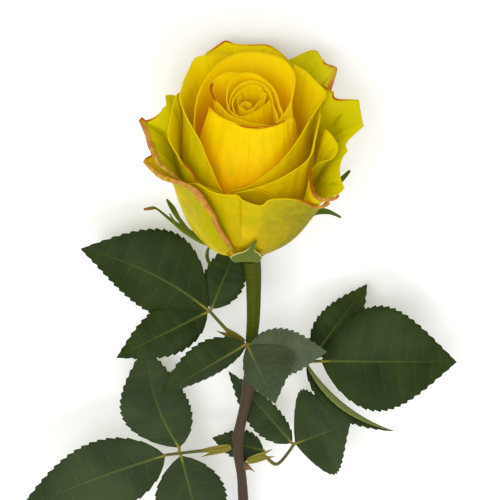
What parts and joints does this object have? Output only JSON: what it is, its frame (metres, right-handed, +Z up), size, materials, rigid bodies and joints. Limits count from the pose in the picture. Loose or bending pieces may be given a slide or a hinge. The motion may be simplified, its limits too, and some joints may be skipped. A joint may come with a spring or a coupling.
{
  "type": "cut rose",
  "caption": "Open rose flower with layered petals, green sepals and toothed leaves on a thorny cut stem, lying on its back.",
  "frame": {"origin": "centre of the bounding box's base, on the surface that the rose lies on", "axes": "+Y along the stem towards the flower, +Z up, +X to the right of a viewer who looks down with the flower at the top"},
  "size_m": [0.147, 0.3107, 0.0611],
  "materials": {
    "petal": "soft matte",
    "sepal": "matte",
    "cane": "satin",
    "leaf": "satin"
  },
  "bodies": {
    "root": {"bloom": "petal", "calyx": "sepal", "stem": "cane", "leaf_upper_left": "leaf", "leaf_front": "leaf", "leaf_right": "leaf", "leaf_lower_right": "leaf", "leaf_lower_left": "leaf"}
  },
  "joints": []
}
